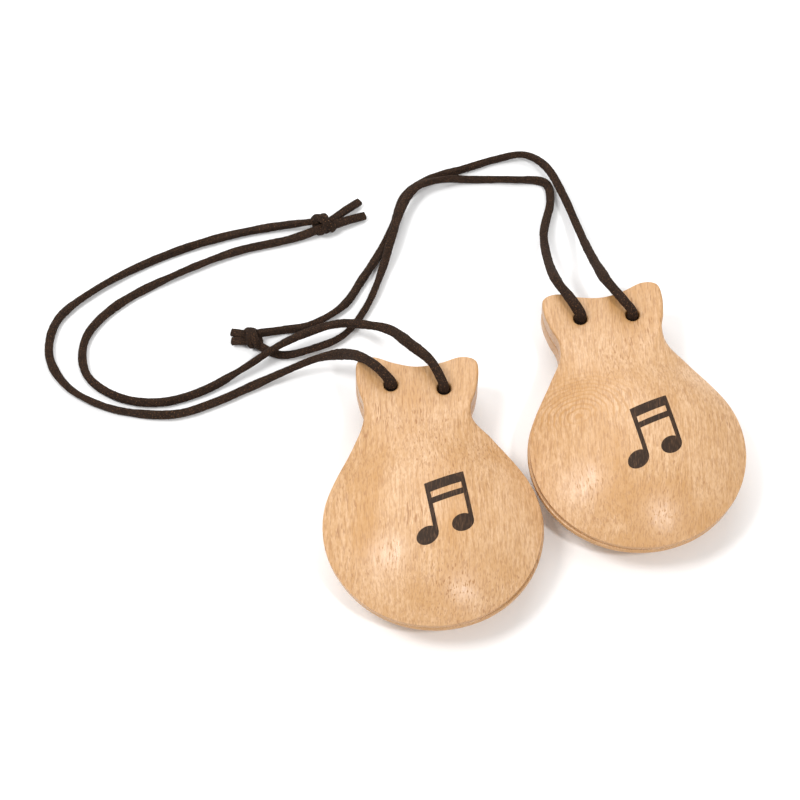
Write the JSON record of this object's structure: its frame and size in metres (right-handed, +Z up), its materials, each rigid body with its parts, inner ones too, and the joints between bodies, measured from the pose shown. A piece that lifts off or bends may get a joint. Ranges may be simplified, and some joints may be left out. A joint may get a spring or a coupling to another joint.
{
  "type": "castanets",
  "caption": "Wooden hand castanets: pear-shaped hollow shells hinged face to face by a suede lace through holes in their horned ears.",
  "frame": {"origin": "on the table, under the middle of the box round the four shells", "axes": "+Z up from the table, +Y away from the player's side towards the ears, +X from the left castanet to the right one"},
  "size_m": [0.2133, 0.1746, 0.025],
  "materials": {
    "wood": "satin lacquer over pale, straight-grained hardwood",
    "suede_lace": "dark brown suede lace, matt and slightly fuzzy"
  },
  "bodies": {
    "right_lower": {"right_lower_shell": "wood", "right_lace_in_lower_ears": "suede_lace", "right_lace_leg_1": "suede_lace", "right_lace_leg_2": "suede_lace", "right_lace_knot": "suede_lace", "right_lace_tails": "suede_lace"},
    "right_upper": {"right_upper_shell": "wood", "right_lace_in_upper_ears": "suede_lace"},
    "left_lower": {"left_lower_shell": "wood", "left_lace_in_lower_ears": "suede_lace", "left_lace_leg_1": "suede_lace", "left_lace_leg_2": "suede_lace", "left_lace_knot": "suede_lace", "left_lace_tails": "suede_lace"},
    "left_upper": {"left_upper_shell": "wood", "left_lace_in_upper_ears": "suede_lace"}
  },
  "joints": [
    {"name": "left_shell_hinge", "type": "hinge", "parent": "left_lower", "child": "left_upper", "pos_m": [-0.03501, 0.01979, 0.0125], "axis": [-0.9972, 0.075, 0], "range_deg": [0, 18]},
    {"name": "right_shell_hinge", "type": "hinge", "parent": "right_lower", "child": "right_upper", "pos_m": [0.02279, 0.0445, 0.0125], "axis": [-0.9965, -0.0837, 0], "range_deg": [0, 18]},
    {"name": "left_castanet_lift", "type": "slide", "parent": "right_lower", "child": "left_lower", "axis": [0, 0, 1], "range_m": [0, 0.1]}
  ]
}
